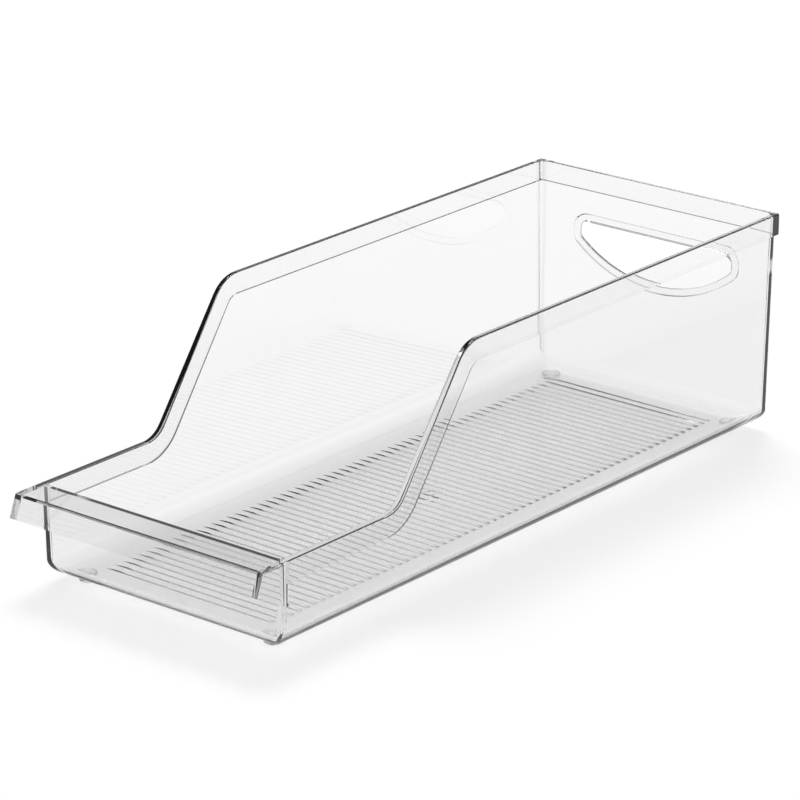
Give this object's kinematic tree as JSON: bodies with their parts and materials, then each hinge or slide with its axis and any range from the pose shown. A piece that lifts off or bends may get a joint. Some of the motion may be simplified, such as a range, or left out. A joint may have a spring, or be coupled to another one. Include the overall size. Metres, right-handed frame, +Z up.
{
  "type": "pull-out refrigerator bin",
  "caption": "Clear open-top refrigerator bin with a low front, sloping side rims, a front pull lip, a hand hole in the back wall, a ribbed floor and round feet.",
  "frame": {"origin": "on the surface that the feet stand on, at the middle of the overall length and width", "axes": "+X across the bin to the right as seen from the front, +Y along the bin from the front lip to the back wall, +Z up"},
  "size_m": [0.14, 0.37, 0.107],
  "materials": {
    "clear_moulding": "polished, see-through",
    "clear_bumper": "satin, see-through"
  },
  "bodies": {
    "root": {"bin_body": "clear_moulding", "foot_front_left": "clear_bumper", "foot_front_right": "clear_bumper", "foot_back_left": "clear_bumper", "foot_back_right": "clear_bumper"}
  },
  "joints": []
}
